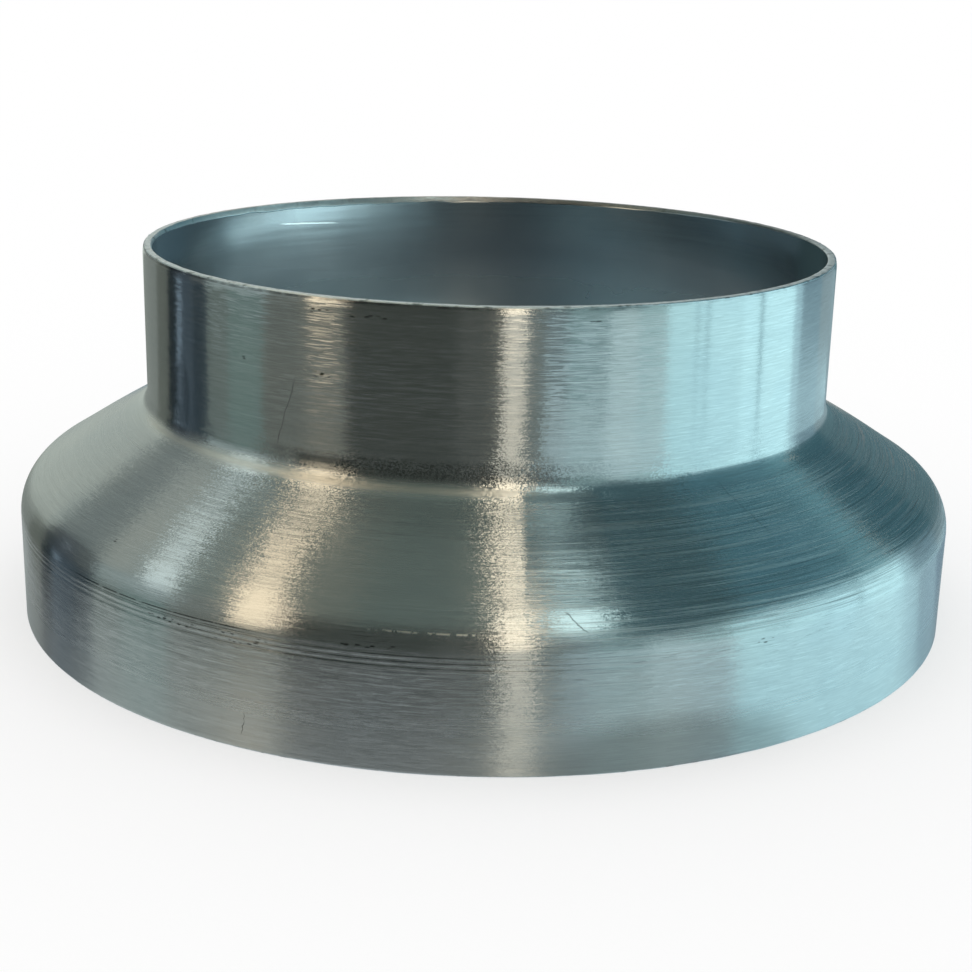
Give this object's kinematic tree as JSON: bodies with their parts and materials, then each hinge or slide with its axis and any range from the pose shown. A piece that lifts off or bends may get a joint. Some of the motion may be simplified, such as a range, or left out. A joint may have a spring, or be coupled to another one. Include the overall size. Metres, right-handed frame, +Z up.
{
  "type": "pipe reducer",
  "caption": "Round one-piece sheet-metal reducer that joins a wide duct collar to a narrower spigot through a short shallow cone.",
  "frame": {"origin": "centre of the large collar's rim, on the plane that the reducer stands on", "axes": "+Z up along the passage, from the large end to the small end; the part is round, so X and Y are free"},
  "size_m": [0.204, 0.204, 0.078],
  "materials": {
    "bare_metal": "bare, with fine turned lines round the outside and a smooth satin inside"
  },
  "bodies": {
    "root": {"reducer": "bare_metal"}
  },
  "joints": []
}
